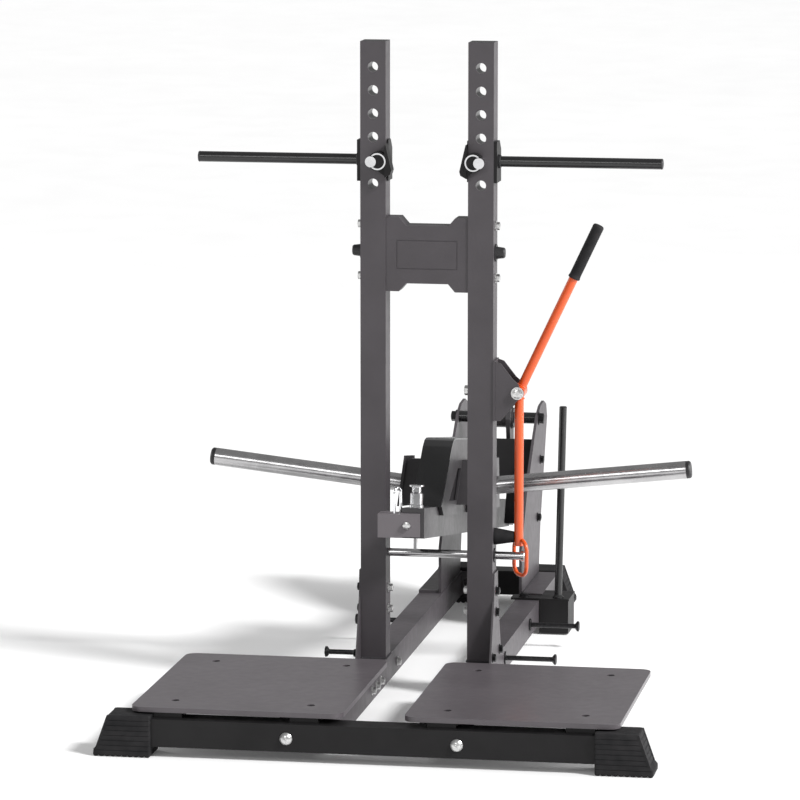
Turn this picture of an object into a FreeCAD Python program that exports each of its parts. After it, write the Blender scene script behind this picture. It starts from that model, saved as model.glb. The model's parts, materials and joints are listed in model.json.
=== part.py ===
"""Plate-loaded lever-arm belt squat machine, built as a parametric assembly (millimetres).

Frame: +Z up from the floor, +X to the user's right-hand side as seen from the front,
+Y from the foot plates towards the pivot towers. The origin is on the floor, at the
middle of the footprint. The user stands on the two plates over the front beam, and the
belt hangs from the ring at the arm's front end.
"""
import FreeCAD, Part
import math
import os
import Sketcher
from FreeCAD import Placement, Rotation, Vector

doc = FreeCAD.newDocument("belt_squat")
sheet = doc.addObject("Spreadsheet::Sheet", "dims")
node_names = []
X_AXIS, Y_AXIS, Z_AXIS = Vector(1, 0, 0), Vector(0, 1, 0), Vector(0, 0, 1)


# ---------------------------------------------------------------- sizes and expressions
class Size:
    """A length that carries its value and the spreadsheet expression that gives it."""

    def __init__(self, value, text):
        self.value, self.text = float(value), text

    def __add__(self, other):
        return combine(self, other, "+", self.value + number(other))

    def __sub__(self, other):
        return combine(self, other, "-", self.value - number(other))

    def __mul__(self, other):
        return combine(self, other, "*", self.value * number(other))

    def __truediv__(self, other):
        return combine(self, other, "/", self.value / number(other))

    def __radd__(self, other):
        return combine(other, self, "+", number(other) + self.value)

    def __rsub__(self, other):
        return combine(other, self, "-", number(other) - self.value)

    def __rmul__(self, other):
        return combine(other, self, "*", number(other) * self.value)

    def __neg__(self):
        return Size(-self.value, f"(-1 * {self.text})")


def number(size):
    return size.value if isinstance(size, Size) else float(size)


def text(size):
    return size.text if isinstance(size, Size) else repr(float(size))


def combine(left, right, sign, value):
    return Size(value, f"({text(left)} {sign} {text(right)})")


def bind(thing, prop, size):
    """Give a property its size, as an expression when the size comes from the sheet."""
    if isinstance(size, Size):
        thing.setExpression(prop, size.text)
    else:
        setattr(thing, prop, size)


def driving(name, value):
    """Write one driving dimension to the sheet and return it as a Size."""
    row = driving.row
    driving.row += 1
    sheet.set(f"A{row}", name)
    sheet.set(f"B{row}", str(value))
    sheet.setAlias(f"B{row}", name)
    return Size(value, f"dims.{name}")


driving.row = 1

# ---------------------------------------------------------------- driving dimensions
half_depth = driving("half_depth", 1166)
mast_y = driving("mast_y", -266)
mast_x = driving("mast_x", 148)
mast_width = driving("mast_width", 70)
mast_top = driving("mast_top", 1800)
tube_wall = driving("tube_wall", 3)
rail_height = driving("rail_height", 73)
ground_gap = driving("ground_gap", 28)
rail_end = driving("rail_end", 1034)
beam_depth = driving("beam_depth", 75)
front_beam_half = driving("front_beam_half", 690)
rear_beam_half = driving("rear_beam_half", 182)
foot_length = driving("foot_length", 152)
foot_proud = driving("foot_proud", 12)
foot_cap = driving("foot_cap", 9)
foot_toe = driving("foot_toe", 26)
foot_shell = driving("foot_shell", 42)
plate_width = driving("plate_width", 560)
plate_depth = driving("plate_depth", 694)
plate_thick = driving("plate_thick", 13)
plate_inner = driving("plate_inner", 80)
plate_corner = driving("plate_corner", 30)
plate_setback = driving("plate_setback", 174)
screw_dia = driving("screw_dia", 22)
screw_across = driving("screw_across", 180)
screw_away = driving("screw_away", 252)
support_thick = driving("support_thick", 14)
support_width = driving("support_width", 75)
gusset_thick = driving("gusset_thick", 5)
hole_dia = driving("hole_dia", 30)
hole_pitch = driving("hole_pitch", 63.4)
top_hole_drop = driving("top_hole_drop", 69.5)
cross_bottom = driving("cross_bottom", 1121)
cross_height = driving("cross_height", 202)
arm_width = driving("arm_width", 60)
arm_depth = driving("arm_depth", 82)
arm_length = driving("arm_length", 1568)
arm_slope = driving("arm_slope", 8.8)
arm_front_y = driving("arm_front_y", -516)
arm_front_z = driving("arm_front_z", 563)
pivot_y = driving("pivot_y", 984)
pivot_z = driving("pivot_z", 580)
arm_pin_dia = driving("arm_pin_dia", 12)
arm_pin_away = driving("arm_pin_away", 50.6)
axle_dia = driving("axle_dia", 34)
hub_dia = driving("hub_dia", 60)
hub_half = driving("hub_half", 50)
tower_inner = driving("tower_inner", 116)
tower_thick = driving("tower_thick", 8)
horn_dia = driving("horn_dia", 50)
horn_length = driving("horn_length", 552)
horn_lift = driving("horn_lift", 6.3)
horn_box_end = driving("horn_box_end", 125)
carriage_half = driving("carriage_half", 41)
saddle_wall = driving("saddle_wall", 9)
ear_reach = driving("ear_reach", 26)
bar_dia = driving("bar_dia", 29)
bar_length = driving("bar_length", 443)
lever_x = driving("lever_x", 250)
lever_z = driving("lever_z", 849)
lever_tube = driving("lever_tube", 25)
lever_bottom = driving("lever_bottom", 423)
lever_bolt_dia = driving("lever_bolt_dia", 16)
lever_lean = driving("lever_lean", 25.2)
lever_reach = driving("lever_reach", 508)
grip_length = driving("grip_length", 161)
rod_z = driving("rod_z", 394)
rod_dia = driving("rod_dia", 22)
rod_length = driving("rod_length", 374)
rod_tip = driving("rod_tip", -117)
bush_dia = driving("bush_dia", 30)
loop_bar_dia = driving("loop_bar_dia", 11)
running_gap = driving("running_gap", 0.05)
fit_gap = driving("fit_gap", 0.2)
peg_dia = driving("peg_dia", 14)
post_dia = driving("post_dia", 22)
post_length = driving("post_length", 560)
post_x = driving("post_x", 237)
post_y = driving("post_y", 604)

rail_top = ground_gap + rail_height
mast_half = mast_width / 2
mast_inner = mast_x - mast_half
mast_outer = mast_x + mast_half
front_beam_back = beam_depth + foot_proud - half_depth
rear_beam_front = rail_end
plate_top = rail_top + support_thick + plate_thick
grip_z = mast_top - top_hole_drop - 4 * hole_pitch


# ---------------------------------------------------------------- building blocks
def body(name):
    """Start a PartDesign body that becomes one sub-part."""
    made = doc.addObject("PartDesign::Body", name)
    made.Label = name
    return made


def keep(thing, name, turn=None, at=(0, 0, 0)):
    """Place a finished sub-part, name it and list it for export."""
    thing.Label = name
    values = [number(size) for size in at]
    thing.Placement = Placement(Vector(*values), turn or Rotation())
    for axis, size in zip("xyz", at):
        if isinstance(size, Size):
            thing.setExpression(f"Placement.Base.{axis}", size.text)
    node_names.append(thing.Name)
    return thing


def plane(owner, role):
    return next(item for item in owner.Origin.OriginFeatures if item.Role == role)


def new_sketch(owner, role, offset=0):
    """A sketch on one of the body's own origin planes, moved along its normal."""
    made = owner.newObject("Sketcher::SketchObject", owner.Name + "_sketch")
    made.AttachmentSupport = [(plane(owner, role), "")]
    made.MapMode = "FlatFace"
    made.AttachmentOffset = Placement(Vector(0, 0, number(offset)), Rotation())
    if isinstance(offset, Size):
        made.setExpression("AttachmentOffset.Base.z", offset.text)
    return made


def pin_point(sketch, geometry, end, place):
    """Fix one sketch point at a place whose two sizes may come from the sheet."""
    for kind, size in zip(("DistanceX", "DistanceY"), place):
        index = sketch.addConstraint(Sketcher.Constraint(kind, -1, 1, geometry, end, number(size)))
        if isinstance(size, Size):
            sketch.setExpression(f"Constraints[{index}]", size.text)


def add_outline(sketch, points):
    """A closed outline of straight edges through the given points."""
    spots = [Vector(number(across), number(up), 0) for across, up in points]
    count = len(spots)
    first = sketch.GeometryCount
    for step in range(count):
        sketch.addGeometry(Part.LineSegment(spots[step], spots[(step + 1) % count]))
    for step in range(count):
        following = first + (step + 1) % count
        sketch.addConstraint(Sketcher.Constraint("Coincident", first + step, 2, following, 1))
        pin_point(sketch, first + step, 1, points[step])


def add_circle(sketch, diameter, centre=(0, 0)):
    middle = Vector(number(centre[0]), number(centre[1]), 0)
    geometry = sketch.addGeometry(Part.Circle(middle, Z_AXIS, number(diameter) / 2))
    index = sketch.addConstraint(Sketcher.Constraint("Diameter", geometry, number(diameter)))
    if isinstance(diameter, Size):
        sketch.setExpression(f"Constraints[{index}]", diameter.text)
    pin_point(sketch, geometry, 3, centre)


def rectangle(width, height, centre=(0, 0)):
    """Corner points of a centred rectangle."""
    across, up = centre
    return [(across - width / 2, up - height / 2), (across + width / 2, up - height / 2),
            (across + width / 2, up + height / 2), (across - width / 2, up + height / 2)]


def extrude(owner, sketch, length, kind="PartDesign::Pad", both_ways=False, backwards=False):
    made = owner.newObject(kind, owner.Name + "_step")
    made.Profile = sketch
    bind(made, "Length", length)
    if both_ways:
        made.Midplane = True
    made.Reversed = backwards
    sketch.Visibility = False
    return made


def pad(owner, role, outlines=(), circles=(), length=1, offset=0, both_ways=True):
    """Pad outlines and circles from an origin plane; inner ones become holes."""
    sketch = new_sketch(owner, role, offset)
    for points in outlines:
        add_outline(sketch, points)
    for circle in circles:
        add_circle(sketch, *circle)
    return extrude(owner, sketch, length, both_ways=both_ways)


def cut(owner, role, outlines=(), circles=(), length=1, offset=0, both_ways=True, backwards=False):
    """Cut outlines and circles through the body, centred on a plane unless told otherwise."""
    sketch = new_sketch(owner, role, offset)
    for points in outlines:
        add_outline(sketch, points)
    for circle in circles:
        add_circle(sketch, *circle)
    return extrude(owner, sketch, length, "PartDesign::Pocket", both_ways, backwards)


def round_edges(owner, radius, wanted):
    """Fillet the edges of the body's tip that the test picks."""
    doc.recompute()
    tip = owner.Tip
    names = [f"Edge{place}" for place, edge in enumerate(tip.Shape.Edges, 1) if wanted(edge)]
    made = owner.newObject("PartDesign::Fillet", owner.Name + "_round")
    made.Base = (tip, names)
    bind(made, "Radius", radius)
    return made


def along(axis):
    """A test for straight edges that run along one axis."""
    def wanted(edge):
        return len(edge.Vertexes) == 2 and abs(edge.tangentAt(edge.FirstParameter).dot(axis)) > 0.999
    return wanted


def rod(name, diameter, length, turn=None, at=(0, 0, 0), bore=None):
    """A straight bar or tube along its own Z axis."""
    made = doc.addObject("Part::Cylinder", name if bore is None else name + "_outer")
    bind(made, "Radius", diameter / 2)
    bind(made, "Height", length)
    if bore is not None:
        hollow = doc.addObject("Part::Cylinder", name + "_bore")
        bind(hollow, "Radius", bore / 2)
        bind(hollow, "Height", length)
        whole = doc.addObject("Part::Cut", name + "_tube")
        whole.Base, whole.Tool = made, hollow
        made = whole
    return keep(made, name, turn, at)


def group(name, solids):
    """Identical loose pieces that share one node, as separate solids."""
    made = doc.addObject("Part::Feature", name)
    made.Shape = Part.makeCompound(solids)
    made.Label = name
    node_names.append(made.Name)
    return made


def placed(shape, turn=None, at=(0, 0, 0)):
    moved = shape.copy()
    moved.Placement = Placement(Vector(*[number(size) for size in at]), turn or Rotation())
    return moved


def spun(profile):
    """A solid turned about Z from a closed outline of (radius, height) points."""
    points = [Vector(radius, 0, height) for radius, height in profile]
    solid = Part.Face(Part.makePolygon(points + points[:1])).revolve(Vector(), Z_AXIS, 360)
    if solid.Volume < 0:
        solid.reverse()
    return solid


def hex_bolt(across_flats, head, shank_dia, shank, washer=0):
    """A hex head on +Z with an optional washer, its shank going down -Z."""
    corner = across_flats / math.sqrt(3)
    points = [Vector(corner * math.cos(turn), corner * math.sin(turn), washer)
              for turn in (math.radians(60 * step) for step in range(7))]
    solid = Part.Face(Part.makePolygon(points)).extrude(Vector(0, 0, head))
    crown = Part.makeSphere(corner * 2.2, Vector(0, 0, washer + head - corner * 2.15))
    solid = solid.common(crown)
    if washer:
        solid = solid.fuse(Part.makeCylinder(across_flats * 0.72, washer))
    if shank:
        solid = solid.fuse(Part.makeCylinder(shank_dia / 2, shank, Vector(0, 0, -shank)))
    return solid.removeSplitter()


def dome_bolt(radius, height):
    """A domed round head on a thin washer, standing on +Z."""
    sphere = (radius * radius + height * height) / (2 * height)
    ball = Part.makeSphere(sphere, Vector(0, 0, height - sphere + 2))
    dome = ball.common(Part.makeCylinder(radius, height * 2, Vector(0, 0, 2)))
    return dome.fuse(Part.makeCylinder(radius, 2))


TO_PLUS_X = Rotation(Y_AXIS, 90)
TO_MINUS_X = Rotation(Y_AXIS, -90)
TO_MINUS_Y = Rotation(X_AXIS, 90)
SIDES = (("left", -1), ("right", 1))


# ---------------------------------------------------------------- base frame
def make_beams():
    """The two cross beams: rectangular hollow sections along X."""
    spans = (("front_beam", front_beam_half, front_beam_back - beam_depth / 2),
             ("rear_beam", rear_beam_half, rear_beam_front + beam_depth / 2))
    for name, half, away in spans:
        made = body(name)
        pad(made, "YZ_Plane", [rectangle(beam_depth, rail_height),
                               rectangle(beam_depth - 2 * tube_wall, rail_height - 2 * tube_wall)],
            length=2 * half)
        keep(made, name, None, (0, away, ground_gap + rail_height / 2))


def make_rails():
    """Two rails along Y, with an end plate against each cross beam."""
    length = rear_beam_front - front_beam_back
    for side, sign in SIDES:
        name = f"{side}_rail"
        made = body(name)
        pad(made, "XZ_Plane", [rectangle(mast_width, rail_height),
                               rectangle(mast_width - 2 * tube_wall, rail_height - 2 * tube_wall)],
            length=length)
        keep(made, name, None, (sign * mast_x, front_beam_back + length / 2,
                                ground_gap + rail_height / 2))


def make_foot(name, side, beam_front, outer, rail_notch):
    """A moulded rubber foot that caps a beam's end: sloped outer end and a toe."""
    made = body(name)
    slope_low, slope_high, notch_gap = 9, 39, 1
    depth = beam_depth + 2 * foot_proud
    height = rail_top + foot_cap
    profile = [(-foot_length, 0), (0, 0), (0, foot_toe), (-slope_low, foot_toe),
               (-slope_high, height), (-foot_length, height)]
    pad(made, "XZ_Plane", [profile], length=depth)
    middle = ground_gap + rail_height / 2
    cut(made, "YZ_Plane", [rectangle(beam_depth, rail_height, (0, middle))],
        length=foot_length - foot_shell, offset=-foot_length, both_ways=False, backwards=True)
    if rail_notch:
        notch = rectangle(mast_width + notch_gap, rail_height + notch_gap, (mast_x - outer, middle))
        cut(made, "XZ_Plane", [notch], length=depth, both_ways=False, backwards=side > 0)
    turn = Rotation() if side > 0 else Rotation(Z_AXIS, 180)
    keep(made, name, turn, (side * outer, beam_front + beam_depth / 2, 0))


def make_feet():
    for side, sign in SIDES:
        make_foot(f"front_{side}_foot", sign, front_beam_back - beam_depth,
                  front_beam_half + foot_shell, False)
        make_foot(f"rear_{side}_foot", sign, rear_beam_front, rear_beam_half + foot_shell, True)


def make_foot_plates():
    """Foot plates with rounded corners and four countersunk screws each."""
    screw_height = 11
    middle_x = plate_inner + plate_width / 2
    middle_y = mast_y - plate_setback - plate_depth / 2
    screws = []
    for side, sign in SIDES:
        name = f"{side}_foot_plate"
        made = body(name)
        pad(made, "XY_Plane", [rectangle(plate_width, plate_depth)], length=plate_thick,
            both_ways=False)
        round_edges(made, plate_corner, along(Z_AXIS))
        spots = [(across * screw_across, away * screw_away) for across in (-1, 1) for away in (-1, 1)]
        for spot in spots:
            cut(made, "XY_Plane", circles=[(screw_dia, spot)], length=plate_thick,
                both_ways=False, backwards=True)
        keep(made, name, None, (sign * middle_x, middle_y, rail_top + support_thick))
        for across, away in spots:
            screws.append(placed(Part.makeCylinder(number(screw_dia) / 2, screw_height), None,
                                 (sign * middle_x + across, middle_y + away, plate_top - plate_thick)))
    group("plate_screws", screws)


def make_plate_supports():
    """Flat bars that carry each foot plate over the front beam, and the rear outriggers."""
    bar_length, bar_lead = 640, 22
    outrigger_depth, outrigger_setback, end_wall = 60, 235, 4
    width, thick, wall = number(support_width), number(support_thick), number(tube_wall)
    across = number(screw_across)
    middle_x = number(plate_inner + plate_width / 2)
    front = number(front_beam_back - beam_depth) + bar_lead
    low = number(rail_top)
    inner = number(mast_outer)
    reach = middle_x + across + width / 2 - inner
    outrigger_y = number(mast_y) - outrigger_setback
    outrigger_low = number(ground_gap) + wall
    tall = low - outrigger_low
    bars = []
    for _, sign in SIDES:
        for shift in (-across, across):
            corner = Vector(sign * middle_x + shift - width / 2, front, low)
            bars.append(Part.makeBox(width, bar_length, thick, corner))
        start = inner if sign > 0 else -inner - reach
        tube = Part.makeBox(reach, outrigger_depth, tall, Vector(start, outrigger_y, outrigger_low))
        hollow = Part.makeBox(reach - 2 * end_wall, outrigger_depth - 2 * wall, tall - 2 * wall,
                              Vector(start + end_wall, outrigger_y + wall, outrigger_low + wall))
        bars.append(tube.cut(hollow))
    group("plate_supports", bars)


# ---------------------------------------------------------------- uprights
def make_uprights():
    """Square uprights with a row of adjustment holes through front and back."""
    hole_count, cap_thick = 6, 5
    length = mast_top - rail_top
    inside = mast_width - 2 * tube_wall
    for side, sign in SIDES:
        name = f"{side}_upright"
        made = body(name)
        pad(made, "XY_Plane", [rectangle(mast_width, mast_width), rectangle(inside, inside)],
            length=length, both_ways=False)
        holes = [(hole_dia, (0, length - top_hole_drop - step * hole_pitch))
                 for step in range(hole_count)]
        cut(made, "XZ_Plane", circles=holes, length=mast_width + 2)
        bush_height = rod_z - rail_top
        if sign > 0:
            cut(made, "YZ_Plane", circles=[(bush_dia, (0, bush_height))], length=mast_width + 2)
        else:
            cut(made, "YZ_Plane", circles=[(rod_dia + 2 * running_gap, (0, bush_height))],
                length=mast_half + 1, both_ways=False, backwards=True)
        keep(made, name, None, (sign * mast_x, mast_y, rail_top))
    wide = number(inside)
    cap = Part.makeBox(wide, wide, cap_thick, Vector(-wide / 2, -wide / 2, -cap_thick))
    group("upright_caps", [placed(cap, None, (sign * mast_x, mast_y, mast_top)) for _, sign in SIDES])


def make_gussets():
    """Side plates that bolt each upright's foot to its rail."""
    outline = [(-30, 246), (30, 246), (36, 170), (96, 0), (-96, 0), (-36, 170)]
    rail_gap = 0.5
    thick = number(gusset_thick)
    near = number(mast_outer + fit_gap)
    low = number(rail_top) + rail_gap
    plates = []
    for _, sign in SIDES:
        start = near if sign > 0 else -near - thick
        points = [Vector(start, number(mast_y) + away, low + up) for away, up in outline]
        face = Part.Face(Part.makePolygon(points + points[:1]))
        plates.append(face.extrude(Vector(thick, 0, 0)))
    group("upright_gussets", plates)


def make_crossmember():
    """Panel between the uprights: waisted outline, open back and an engraved plain frame."""
    depth, skin, front_skin = 64, 6, 5
    neck, flare, notch = 58, 77, 22
    frame_width, frame_height, line, engraved = 168, 80, 3, 1.2
    knob_height = 107
    made = body("crossmember_panel")
    half = mast_inner - fit_gap
    top = cross_height / 2
    waist = top - notch
    outline = [(-half, -top), (-flare, -top), (-neck, -waist), (neck, -waist), (flare, -top),
               (half, -top), (half, top), (flare, top), (neck, waist), (-neck, waist),
               (-flare, top), (-half, top)]
    pad(made, "XZ_Plane", [outline], length=depth)
    cut(made, "XZ_Plane", [rectangle(2 * (half - skin), 2 * (waist - skin))], length=depth,
        offset=depth / 2 - front_skin, both_ways=False)
    cut(made, "XZ_Plane", [rectangle(frame_width, frame_height),
                           rectangle(frame_width - 2 * line, frame_height - 2 * line)],
        length=engraved, offset=depth / 2, both_ways=False)
    keep(made, "crossmember_panel", None, (0, mast_y, cross_bottom + top))
    knob = spun([(0, 0), (24, 0), (24, 4), (17, 4), (14.5, 24), (12, 27), (0, 27)])
    group("hanger_knobs", [placed(knob, TO_PLUS_X if sign > 0 else TO_MINUS_X,
                                  (sign * mast_outer, mast_y, cross_bottom + knob_height))
                           for _, sign in SIDES])


# ---------------------------------------------------------------- height-set handles
def make_handles():
    """Saddles behind the uprights, each with a latch ear in front and a bar to the side."""
    saddle_height, back_wall, flange, flange_front = 112, 6, 5, -20
    boss_dia, lug_hole, lug_thick = 52, 6, 22
    ring_shift, lug_shift = 17, 40
    pin_length = 74
    front = -mast_half
    near, far, back = mast_half + fit_gap, mast_half + saddle_wall, mast_half + back_wall
    rings = []
    for side, sign in SIDES:
        name = f"{side}_handle_bracket"
        made = body(name)
        saddle = [(sign * far, back), (sign * far, front), (sign * near, front), (sign * near, near),
                  (-sign * near, near), (-sign * near, flange_front),
                  (-sign * (near + flange), flange_front), (-sign * (near + flange), back)]
        pad(made, "XY_Plane", [saddle], length=saddle_height)
        slope = [(14, 57), (45, 57), (45, 26)]
        cut(made, "YZ_Plane", [slope], length=120)
        ear = [(-sign * near, 30), (-sign * (near + 3), 48), (-sign * 55, -24), (-sign * 52, -35),
               (-sign * near, -44)]
        sketch = new_sketch(made, "XZ_Plane", -flange_front)
        add_outline(sketch, ear)
        extrude(made, sketch, ear_reach + flange_front - front)
        sketch = new_sketch(made, "XZ_Plane", fit_gap - front)
        add_circle(sketch, boss_dia, (-sign * ring_shift, 0))
        extrude(made, sketch, ear_reach - fit_gap)
        lug = [(-sign * ring_shift, -25), (-sign * 41, -8), (-sign * 50, -28),
               (-sign * lug_shift, -42), (-sign * 29, -35)]
        sketch = new_sketch(made, "XZ_Plane", fit_gap - front)
        add_outline(sketch, lug)
        extrude(made, sketch, lug_thick - fit_gap)
        cut(made, "XZ_Plane", circles=[(lug_hole, (-sign * lug_shift, -30))], length=6,
            offset=lug_thick - front, both_ways=False)
        cut(made, "XZ_Plane", circles=[(hole_dia, (0, 0))], length=40, offset=-front,
            both_ways=False, backwards=True)
        keep(made, name, None, (sign * mast_x, mast_y, grip_z))

        rod(f"{side}_handle_bar", bar_dia, bar_length, TO_PLUS_X if sign > 0 else TO_MINUS_X,
            (sign * (mast_outer + saddle_wall), mast_y, grip_z))
        rod(f"{side}_handle_pin", hole_dia - 4 * running_gap, pin_length, TO_MINUS_Y,
            (sign * mast_x, mast_y, grip_z))
        ring = spun([(19, 0), (23, 0), (23, 4), (19, 4)])
        ring = ring.cut(Part.makeCylinder(16, 4, Vector(sign * ring_shift, 0, 0)))
        rings.append(placed(ring, TO_MINUS_Y, (sign * (mast_x - ring_shift),
                                               mast_y + front - ear_reach, grip_z)))
    group("handle_rings", rings)


# ---------------------------------------------------------------- pivot towers
def make_towers():
    """Swept-back side plates that carry the arm's axle, each on a flange over its rail."""
    outline = [(-333, 0), (-337, 139), (-232, 292), (-90, 427), (-15, 490), (40, 511), (112, 516),
               (162, 499), (182, 459), (132, 341), (51, 151), (17, 0)]
    flange_width, flange_thick, flange_back, flange_front = 68, 8, -330, 12
    axle_bolt_dia, axle_hole = 16, 16.4
    low = rail_top
    for side, sign in SIDES:
        name = f"{side}_tower"
        made = body(name)
        pad(made, "YZ_Plane", [outline], length=tower_thick)
        start = -tower_thick / 2 if sign > 0 else tower_thick / 2 - flange_width
        flange = [(start, flange_back), (start + flange_width, flange_back),
                  (start + flange_width, flange_front), (start, flange_front)]
        pad(made, "XY_Plane", [flange], length=flange_thick, both_ways=False)
        cut(made, "YZ_Plane", circles=[(axle_hole, (0, pivot_z - low))], length=60)
        keep(made, name, None, (sign * (tower_inner + tower_thick / 2), pivot_y, low))

    brace_height, brace_thick, brace_fold = 262, 6, 36
    gap_half, gap_height = 48, 125
    brace_lean, brace_setback, brace_low = -26.1, 1070, 290
    brace = body("tower_brace")
    half = tower_inner - fit_gap
    bridge = [(-half, 0), (-gap_half, 0), (-gap_half, gap_height), (gap_half, gap_height),
              (gap_half, 0), (half, 0), (half, brace_height), (-half, brace_height)]
    pad(brace, "XZ_Plane", [bridge], length=brace_thick)
    for sign in (-1, 1):
        fold = rectangle(brace_thick, brace_fold, (sign * (half - brace_thick / 2), brace_fold / 2))
        pad(brace, "XY_Plane", [fold], length=brace_height, both_ways=False)
    keep(brace, "tower_brace", Rotation(X_AXIS, brace_lean), (0, mast_y + brace_setback, brace_low))

    axle_bolt = hex_bolt(27, 15, axle_bolt_dia, 24, 3)
    brace_bolt = hex_bolt(19, 10, 12, 0, 2.5)
    bolts = []
    for _, sign in SIDES:
        turn = TO_PLUS_X if sign > 0 else TO_MINUS_X
        face = sign * (tower_inner + tower_thick)
        bolts.append(placed(axle_bolt, turn, (face, pivot_y, pivot_z)))
        for away, up in ((1288, 449), (1234, 282)):
            bolts.append(placed(brace_bolt, turn, (face, mast_y + away, up)))
    group("tower_bolts", bolts)


def make_pivot():
    """The fixed axle, and the arm's hub that turns on it."""
    seat_dia, seat_depth = 16.4, 30
    length = 2 * (tower_inner - fit_gap)
    bored = doc.addObject("Part::Cylinder", "axle_bar")
    bind(bored, "Radius", axle_dia / 2)
    bind(bored, "Height", length)
    for end in (0, 1):
        seat = doc.addObject("Part::Cylinder", f"axle_seat_{end}")
        seat.Radius = seat_dia / 2
        seat.Height = seat_depth
        if end:
            seat.setExpression("Placement.Base.z", (length - seat_depth).text)
        step = doc.addObject("Part::Cut", f"axle_step_{end}")
        step.Base, step.Tool = bored, seat
        bored = step
    keep(bored, "pivot_axle", TO_PLUS_X, (fit_gap - tower_inner, pivot_y, pivot_z))
    rod("pivot_hub", hub_dia, 2 * hub_half, TO_PLUS_X, (-hub_half, pivot_y, pivot_z),
        bore=axle_dia + 2 * running_gap)


# ---------------------------------------------------------------- the swinging arm
ARM_TURN = Rotation(X_AXIS, -number(arm_slope))
ARM_AT = (0, arm_front_y, arm_front_z)


def make_arm():
    """The long hollow arm, its hanging links and the bracket on its front end."""
    closed_end, open_end = 20, 5
    link_thick, link_gap = 12, 0.1
    made = body("arm_tube")
    slant = arm_depth * math.tan(math.radians(number(arm_slope)))
    outline = [(0, 0), (arm_length, 0), (arm_length, -arm_depth), (slant, -arm_depth)]
    pad(made, "YZ_Plane", [outline], length=arm_width)
    wall = tube_wall + 1
    far = arm_length + open_end
    hollow = [(closed_end, -wall), (far, -wall), (far, wall - arm_depth), (closed_end, wall - arm_depth)]
    cut(made, "YZ_Plane", [hollow], length=arm_width - 2 * wall)
    cut(made, "XY_Plane", circles=[(arm_pin_dia + 2 * running_gap, (0, arm_pin_away))],
        length=4 * arm_depth)
    keep(made, "arm_tube", ARM_TURN, ARM_AT)

    outline = [(-42, 0), (-30, 30), (0, 42), (30, 30), (42, 0), (58, -240), (40, -335),
               (0, -322), (20, -250)]
    for side, sign in SIDES:
        name = f"{side}_arm_link"
        link = body(name)
        pad(link, "YZ_Plane", [outline], circles=[(hub_dia, (0, 0))], length=link_thick)
        keep(link, name, None, (sign * (arm_width / 2 + link_thick / 2 + link_gap), pivot_y, pivot_z))

    bolt_x, bolt_z, bolt_hole, plate_thick_front = -16, -47, 12.4, 6
    front_plate = [(-33, -79), (19, -79), (19, -15), (-33, -15)]
    wing = [(-96, -82), (-30.2, -82), (-30.2, -18), (-96, -18)]
    wing_depth, wing_back, wing_window = 45, -39, rectangle(52, 52, (-64, -50))
    bracket = body("arm_end_bracket")
    pad(bracket, "XZ_Plane", [front_plate], length=plate_thick_front, both_ways=False)
    pad(bracket, "XZ_Plane", [wing], length=wing_depth, offset=wing_back, both_ways=False)
    cut(bracket, "XZ_Plane", [wing_window], length=2 * wing_depth, both_ways=False)
    cut(bracket, "XZ_Plane", circles=[(bolt_hole, (bolt_x, bolt_z))], length=4 * plate_thick_front)
    keep(bracket, "arm_end_bracket", None, ARM_AT)
    group("arm_end_bolt", [placed(hex_bolt(19, 9, 12, 5), TO_MINUS_Y,
                                  (bolt_x, arm_front_y - plate_thick_front, arm_front_z + bolt_z))])


def lathe(name, profile, turn, at):
    """A round piece turned about its own Z axis from (radius, height) points."""
    made = body(name)
    sketch = new_sketch(made, "XZ_Plane")
    add_outline(sketch, profile)
    spin = made.newObject("PartDesign::Revolution", name + "_spin")
    spin.Profile = sketch
    spin.ReferenceAxis = (plane(made, "Z_Axis"), [""])
    spin.Angle = 360
    sketch.Visibility = False
    return keep(made, name, turn, at)


def make_arm_pin():
    """Pull pin that drops through the arm: base flange, grip, neck and top disc over a shank."""
    shank = arm_pin_dia / 2
    profile = [(0, -112), (shank - 1, -112), (shank, -111), (shank, 0.3), (19, 0.3), (19, 7),
               (17, 9), (17, 38), (12.5, 42), (12.5, 55), (20, 57), (20, 61), (19, 62), (0, 62)]
    start = ARM_TURN.multVec(Vector(0, number(arm_pin_away), 0))
    lathe("arm_pin", profile, ARM_TURN, (0, arm_front_y + start.y, arm_front_z + start.z))


def bent_bar(path, radius):
    """A round bar swept along a smooth path that starts at the path's first point."""
    start = path.Edges[0]
    ring = Part.Wire(Part.makeCircle(radius, start.valueAt(start.FirstParameter),
                                     start.tangentAt(start.FirstParameter)))
    return path.makePipeShell([ring], True, False, 2)


def make_belt_hook():
    """U-shaped ring that stands in the bracket's wing, where the belt clips on."""
    reach, tall, bar_radius, turn_out = 15, 68, 4, 66
    hook_x, hook_setback, hook_low = -46, 230, 531
    rise = Part.makeLine(Vector(-reach, 0, 0), Vector(-reach, 0, tall))
    crown = Part.Arc(Vector(-reach, 0, tall), Vector(0, 0, tall + reach), Vector(reach, 0, tall))
    fall = Part.makeLine(Vector(reach, 0, tall), Vector(reach, 0, 0))
    hook = bent_bar(Part.Wire([rise, crown.toShape(), fall]), bar_radius)
    group("belt_hook", [placed(hook, Rotation(Z_AXIS, turn_out),
                               (hook_x, mast_y - hook_setback, hook_low))])


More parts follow.
